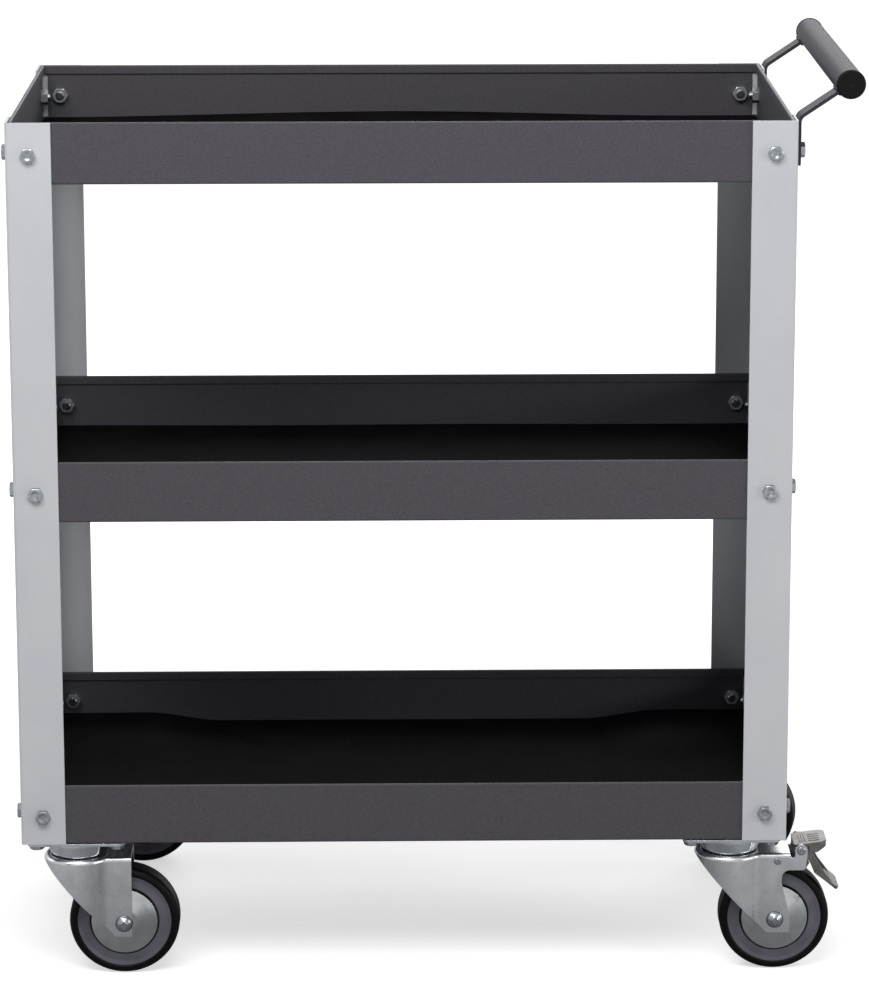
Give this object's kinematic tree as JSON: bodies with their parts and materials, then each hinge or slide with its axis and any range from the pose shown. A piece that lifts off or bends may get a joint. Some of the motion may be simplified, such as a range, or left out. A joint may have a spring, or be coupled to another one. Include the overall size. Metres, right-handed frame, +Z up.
{
  "type": "tool cart",
  "caption": "Open tool cart: three lipped sheet-metal trays with mats in angle posts, a push handle at one end and swivel casters, one with a brake.",
  "frame": {"origin": "on the floor, under the middle of the whole cart's box", "axes": "+X to the end with the push handle, +Y to the rear long side, +Z up"},
  "size_m": [0.753, 0.379, 0.83],
  "materials": {
    "post_paint": "light grey powder coat, satin",
    "tray_paint": "charcoal powder coat, fine texture",
    "mat_rubber": "matt black rubber sheet",
    "handle_paint": "charcoal powder coat, fine texture",
    "cap_plastic": "moulded black plastic",
    "zinc_fastener": "bright zinc plate",
    "zinc_bright": "bright zinc plate over a drawn pressing",
    "zinc_satin": "satin zinc plate",
    "zinc_pedal": "dull zinc plate",
    "ball_steel": "polished bearing steel",
    "tyre_rubber": "smooth black rubber",
    "core_plastic": "moulded grey plastic"
  },
  "bodies": {
    "frame": {"caster_front_left_balls": "ball_steel", "caster_front_left_kingpin": "zinc_fastener", "caster_front_left_plate": "zinc_bright", "caster_front_right_balls": "ball_steel", "caster_front_right_kingpin": "zinc_fastener", "caster_front_right_plate": "zinc_bright", "caster_rear_left_balls": "ball_steel", "caster_rear_left_kingpin": "zinc_fastener", "caster_rear_left_plate": "zinc_bright", "caster_rear_right_balls": "ball_steel", "caster_rear_right_kingpin": "zinc_fastener", "caster_rear_right_plate": "zinc_bright", "frame_and_caster_bolts": "zinc_fastener", "handle_bolts": "zinc_fastener", "handle_bracket_front": "handle_paint", "handle_bracket_rear": "handle_paint", "handle_end_caps": "cap_plastic", "handle_grip": "handle_paint", "hex_nuts": "zinc_fastener", "mat_bottom": "mat_rubber", "mat_middle": "mat_rubber", "mat_top": "mat_rubber", "post_front_left": "post_paint", "post_front_right": "post_paint", "post_rear_left": "post_paint", "post_rear_right": "post_paint", "tray_bottom": "tray_paint", "tray_middle": "tray_paint", "tray_top": "tray_paint"},
    "brake_pedal": {"brake_pedal": "zinc_pedal"},
    "brake_shoe": {"brake_shoe": "zinc_pedal"},
    "swivel_front_left": {"caster_front_left_fork": "zinc_satin", "caster_front_left_axle_bolt": "zinc_fastener", "caster_front_left_axle_nut": "zinc_fastener", "caster_front_left_sleeve": "zinc_fastener", "caster_front_left_thread_guards": "zinc_satin"},
    "wheel_front_left": {"caster_front_left_core": "core_plastic", "caster_front_left_tyre": "tyre_rubber"},
    "swivel_front_right": {"caster_front_right_fork": "zinc_satin", "caster_front_right_axle_bolt": "zinc_fastener", "caster_front_right_axle_nut": "zinc_fastener", "caster_front_right_sleeve": "zinc_fastener", "caster_front_right_thread_guards": "zinc_satin", "brake_pins": "zinc_fastener"},
    "wheel_front_right": {"caster_front_right_core": "core_plastic", "caster_front_right_tyre": "tyre_rubber"},
    "swivel_rear_left": {"caster_rear_left_fork": "zinc_satin", "caster_rear_left_axle_bolt": "zinc_fastener", "caster_rear_left_axle_nut": "zinc_fastener", "caster_rear_left_sleeve": "zinc_fastener", "caster_rear_left_thread_guards": "zinc_satin"},
    "wheel_rear_left": {"caster_rear_left_core": "core_plastic", "caster_rear_left_tyre": "tyre_rubber"},
    "swivel_rear_right": {"caster_rear_right_fork": "zinc_satin", "caster_rear_right_axle_bolt": "zinc_fastener", "caster_rear_right_axle_nut": "zinc_fastener", "caster_rear_right_sleeve": "zinc_fastener", "caster_rear_right_thread_guards": "zinc_satin"},
    "wheel_rear_right": {"caster_rear_right_core": "core_plastic", "caster_rear_right_tyre": "tyre_rubber"}
  },
  "joints": [
    {"name": "swivel_front_left", "type": "hinge", "parent": "frame", "child": "swivel_front_left", "pos_m": [-0.323, -0.152, 0.113], "axis": [0, 0, 1], "continuous": true},
    {"name": "wheel_spin_front_left", "type": "hinge", "parent": "swivel_front_left", "child": "wheel_front_left", "pos_m": [-0.282, -0.152, 0.05], "axis": [0, 1, 0], "continuous": true},
    {"name": "swivel_front_right", "type": "hinge", "parent": "frame", "child": "swivel_front_right", "pos_m": [0.269, -0.152, 0.113], "axis": [0, 0, 1], "continuous": true},
    {"name": "wheel_spin_front_right", "type": "hinge", "parent": "swivel_front_right", "child": "wheel_front_right", "pos_m": [0.31, -0.152, 0.05], "axis": [0, 1, 0], "continuous": true},
    {"name": "swivel_rear_left", "type": "hinge", "parent": "frame", "child": "swivel_rear_left", "pos_m": [-0.323, 0.152, 0.113], "axis": [0, 0, 1], "continuous": true},
    {"name": "wheel_spin_rear_left", "type": "hinge", "parent": "swivel_rear_left", "child": "wheel_rear_left", "pos_m": [-0.2824, 0.15771, 0.05], "axis": [-0.1392, 0.9903, 0], "continuous": true},
    {"name": "swivel_rear_right", "type": "hinge", "parent": "frame", "child": "swivel_rear_right", "pos_m": [0.269, 0.152, 0.113], "axis": [0, 0, 1], "continuous": true},
    {"name": "wheel_spin_rear_right", "type": "hinge", "parent": "swivel_rear_right", "child": "wheel_rear_right", "pos_m": [0.3091, 0.14348, 0.05], "axis": [0.2079, 0.9781, 0], "continuous": true},
    {"name": "brake_pedal_hinge", "type": "hinge", "parent": "swivel_front_right", "child": "brake_pedal", "pos_m": [0.3333, -0.152, 0.1155], "axis": [0, 1, 0], "range_deg": [0, 8]},
    {"name": "brake_shoe_hinge", "type": "hinge", "parent": "swivel_front_right", "child": "brake_shoe", "pos_m": [0.312, -0.152, 0.106], "axis": [0, 1, 0], "range_deg": [0, 2]}
  ],
  "couplings": [
    {"joint": "brake_shoe_hinge", "follows": "brake_pedal_hinge", "ratio": 0.25}
  ]
}
